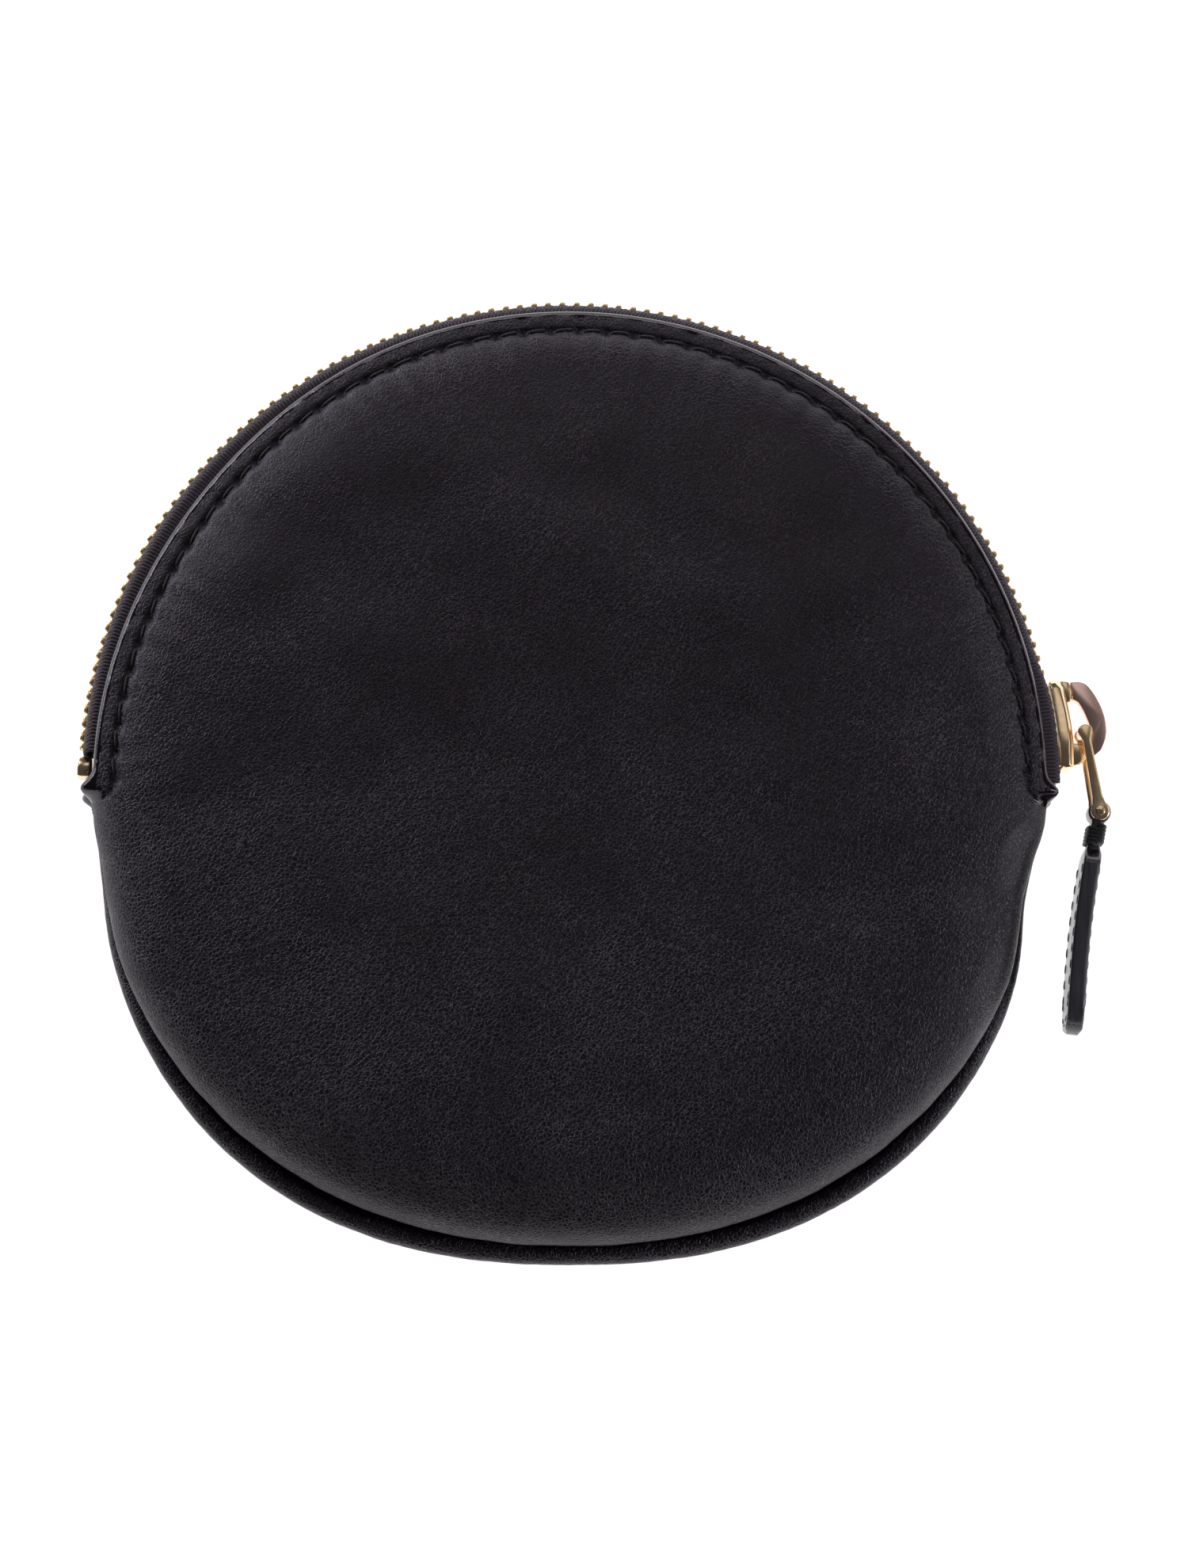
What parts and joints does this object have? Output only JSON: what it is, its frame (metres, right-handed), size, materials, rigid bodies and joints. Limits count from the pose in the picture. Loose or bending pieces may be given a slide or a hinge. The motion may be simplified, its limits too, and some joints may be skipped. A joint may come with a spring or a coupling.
{
  "type": "coin purse",
  "caption": "Round padded leather coin purse with a metal zip over its upper half, a piped lower seam and a hanging leather zip pull.",
  "frame": {"origin": "centre of the flat resting patch of the back panel, on the axis of the zip's circle", "axes": "+Z out of the front panel, +Y towards the middle of the zip, +X towards the end where the closed slider rests"},
  "size_m": [0.1304, 0.122, 0.024],
  "materials": {
    "black_leather": "smooth fine-grained aniline leather, soft sheen",
    "gold_metal": "polished pale gold plating",
    "zip_tape": "woven polyester tape",
    "black_thread": "waxed thread",
    "foam": "soft padding foam",
    "lining_cloth": "plain woven lining",
    "cord_cotton": "twisted cotton filler cord"
  },
  "bodies": {
    "purse": {"back_panel": "black_leather", "back_padding": "foam", "back_lining": "lining_cloth", "back_zip_tape": "zip_tape", "back_teeth": "gold_metal", "back_topstitch": "black_thread", "front_panel_base": "black_leather", "front_padding_base": "foam", "front_lining_base": "lining_cloth", "welt": "black_leather", "welt_cord": "cord_cotton", "seam_stitch": "black_thread", "end_tack_stitch": "black_thread", "bottom_stop": "gold_metal", "top_stop_back": "gold_metal"},
    "front_flap": {"front_panel_flap": "black_leather", "front_padding_flap": "foam", "front_lining_flap": "lining_cloth", "front_zip_tape": "zip_tape", "front_teeth": "gold_metal", "front_topstitch": "black_thread", "top_stop_front": "gold_metal"},
    "slider": {"slider_body": "gold_metal", "slider_bridge": "gold_metal"},
    "link": {"pull_link": "gold_metal", "pull_pin": "gold_metal"},
    "tab": {"pull_strap": "black_leather", "pull_binding": "black_thread", "pull_stitch": "black_thread"}
  },
  "joints": [
    {"name": "zip_travel", "type": "hinge", "parent": "purse", "child": "slider", "pos_m": [0, 0, 0.012], "axis": [0, 0, 1], "range_deg": [0, 162]},
    {"name": "mouth_open", "type": "hinge", "parent": "purse", "child": "front_flap", "pos_m": [0, 0, 0.0171], "axis": [1, 0, 0], "range_deg": [0, 30], "deforming": ["front_zip_tape", "front_teeth", "top_stop_front"]},
    {"name": "pull_link_swing", "type": "hinge", "parent": "slider", "child": "link", "pos_m": [0.06515, 0.0073, 0.012], "axis": [0, 0, 1], "range_deg": [-5, 150]},
    {"name": "pull_strap_swing", "type": "hinge", "parent": "link", "child": "tab", "pos_m": [0.067, -0.0028, 0.012], "axis": [0, 0, 1], "range_deg": [-8, 50]}
  ],
  "couplings": [
    {"joint": "mouth_open", "follows": "zip_travel", "ratio": 0.18518}
  ]
}
